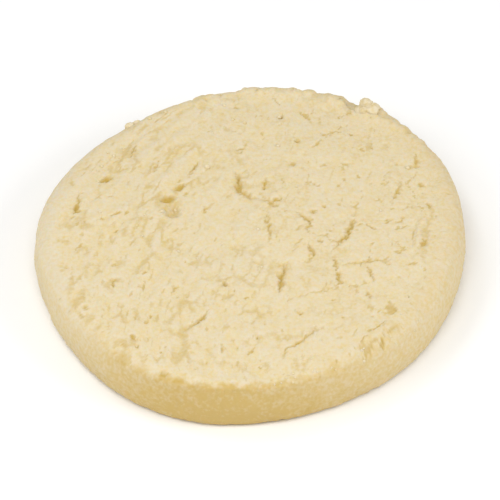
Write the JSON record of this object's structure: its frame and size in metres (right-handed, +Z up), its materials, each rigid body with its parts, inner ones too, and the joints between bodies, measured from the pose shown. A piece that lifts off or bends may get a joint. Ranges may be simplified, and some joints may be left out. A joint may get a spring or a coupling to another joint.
{
  "type": "shortbread biscuit",
  "caption": "Plain round shortbread biscuit, a thick pale slice with a rounded rim, a near-upright wall and a flat base to rest on.",
  "frame": {"origin": "middle of the flat base, at the centre of the biscuit's extent sideways", "axes": "+Z up through the thickness, +X to the right and +Y away from a viewer who faces it"},
  "size_m": [0.0598, 0.0598, 0.0095],
  "materials": {
    "shortbread": "pale baked dough, matt, finely porous, a little more golden on the wall and in the pits"
  },
  "bodies": {
    "root": {"biscuit": "shortbread"}
  },
  "joints": []
}
